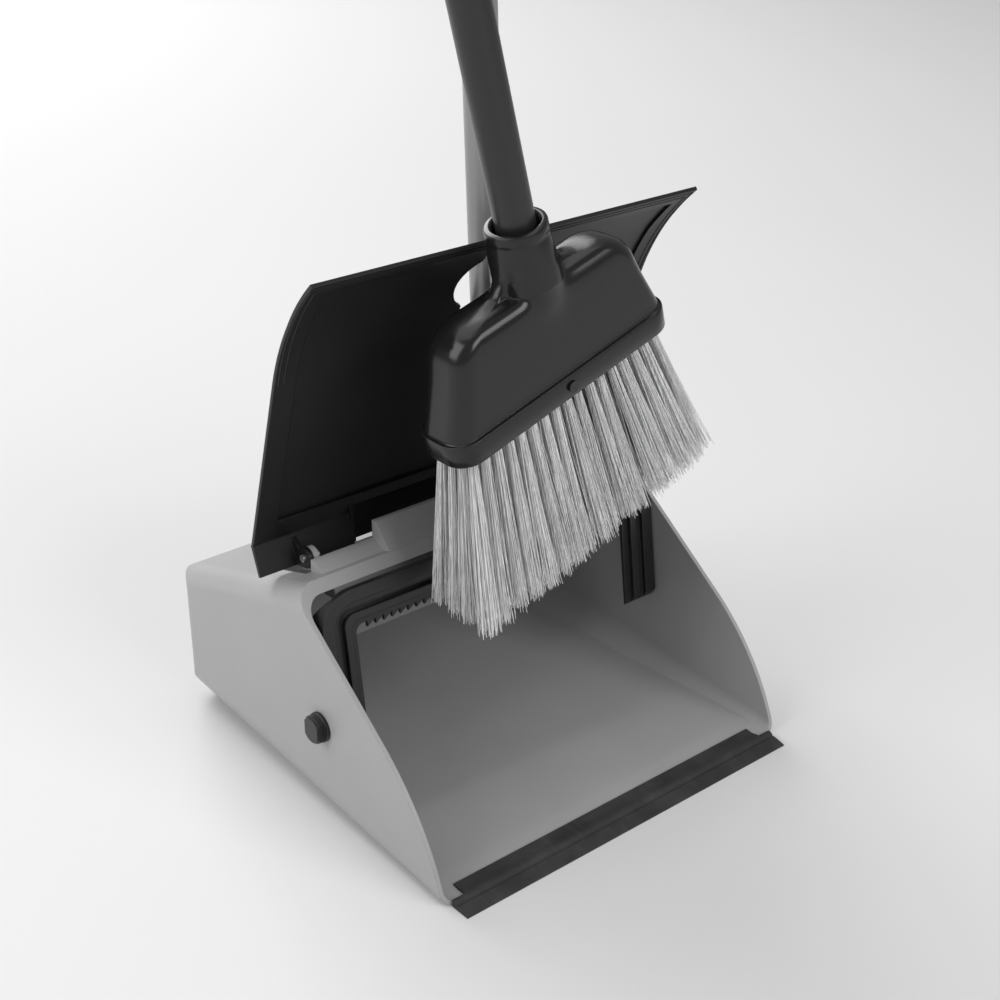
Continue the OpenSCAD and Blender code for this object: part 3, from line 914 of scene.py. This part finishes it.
def soft_light(name, place, target, size, power):
    """A broad rectangular light that looks at a point."""
    data = bpy.data.lights.new(name, "AREA")
    data.shape = "RECTANGLE"
    data.size, data.size_y = size
    data.energy = power
    lamp = bpy.data.objects.new(name, data)
    bpy.context.scene.collection.objects.link(lamp)
    lamp.location = place
    lamp.rotation_euler = (Vector(target) - Vector(place)).to_track_quat("-Z", "Y").to_euler()


class SWEEP_OT_stage(bpy.types.Operator):
    """Lays the floor and sets the light and the camera"""

    bl_idname = "sweep.stage"
    bl_label = "Stage"

    def execute(self, context):
        look = context.scene.sweep_stage
        bm = bmesh.new()
        bmesh.ops.create_grid(bm, x_segments=2, y_segments=2, size=FLOOR_REACH)
        mesh = bpy.data.meshes.new("floor")
        bm.to_mesh(mesh)
        bm.free()
        shader = Shader("floor_white")
        haze = shader.noise(shader.place(), 1.3, 2.0, 0.5)
        grey = (look.floor_tone,) * 3
        pale = shader.mix(haze, tone(grey, 0.99), tone(grey, 1.01))
        gloss = 0.75 + haze * 0.1
        mesh.materials.append(shader.finish(pale, gloss, None, {"Specular IOR Level": 0.2}))
        floor = bpy.data.objects.new("floor", mesh)
        context.scene.collection.objects.link(floor)
        world = bpy.data.worlds.new("studio")
        world.use_nodes = True
        sky = world.node_tree.nodes["Background"]
        sky.inputs["Color"].default_value = (1.0, 1.0, 1.0, 1.0)
        sky.inputs["Strength"].default_value = STUDIO_LIGHT
        context.scene.world = world
        soft_light(*SIDE_LAMP, look.key_power)
        for lamp in LAMPS:
            soft_light(*lamp)
        context.scene.view_settings.view_transform = "Standard"
        data = bpy.data.cameras.new("camera")
        data.lens = CAMERA_LENS
        data.sensor_width = CAMERA_SENSOR
        data.clip_end = CAMERA_CLIP
        camera = bpy.data.objects.new("camera", data)
        context.scene.collection.objects.link(camera)
        back = CAMERA_RIGHT.cross(CAMERA_UP)
        turn = Matrix((CAMERA_RIGHT, CAMERA_UP, back)).transposed()
        camera.matrix_world = Matrix.Translation(CAMERA_AT) @ turn.to_4x4()
        context.scene.camera = camera
        return {"FINISHED"}


class SWEEP_PT_panel(bpy.types.Panel):
    """Lists the settings and the steps in the 3D view's sidebar"""

    bl_idname = "SWEEP_PT_panel"
    bl_label = "Dust pan and broom"
    bl_space_type = "VIEW_3D"
    bl_region_type = "UI"
    bl_category = "Sweeping"

    def draw(self, context):
        for group in SETTINGS:
            settings = getattr(context.scene, group)
            box = self.layout.box()
            for name in settings.bl_rna.properties.keys():
                if name not in ("rna_type", "name"):
                    box.prop(settings, name)
        for step in STEPS:
            self.layout.operator(step.bl_idname)


STEPS = (
    SWEEP_OT_stage,
    SWEEP_OT_pan,
    SWEEP_OT_lip,
    SWEEP_OT_lid,
    SWEEP_OT_frame,
    SWEEP_OT_pole,
    SWEEP_OT_head,
    SWEEP_OT_block,
    SWEEP_OT_bristles,
    SWEEP_OT_stick,
)
SETTINGS = {
    "sweep_pan": PanSettings,
    "sweep_pole": PoleSettings,
    "sweep_broom": BroomSettings,
    "sweep_stage": StageSettings,
}


def register():
    for group in SETTINGS.values():
        bpy.utils.register_class(group)
    for step in STEPS:
        bpy.utils.register_class(step)
    bpy.utils.register_class(SWEEP_PT_panel)
    for name, group in SETTINGS.items():
        setattr(bpy.types.Scene, name, bpy.props.PointerProperty(type=group))


def unregister():
    for name in SETTINGS:
        delattr(bpy.types.Scene, name)
    bpy.utils.unregister_class(SWEEP_PT_panel)
    for step in reversed(STEPS):
        bpy.utils.unregister_class(step)
    for group in SETTINGS.values():
        bpy.utils.unregister_class(group)


def main():
    """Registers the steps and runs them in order."""
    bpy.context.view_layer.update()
    register()
    for step in STEPS:
        area, action = step.bl_idname.split(".")
        getattr(getattr(bpy.ops, area), action)()


if __name__ == "__main__":
    main()
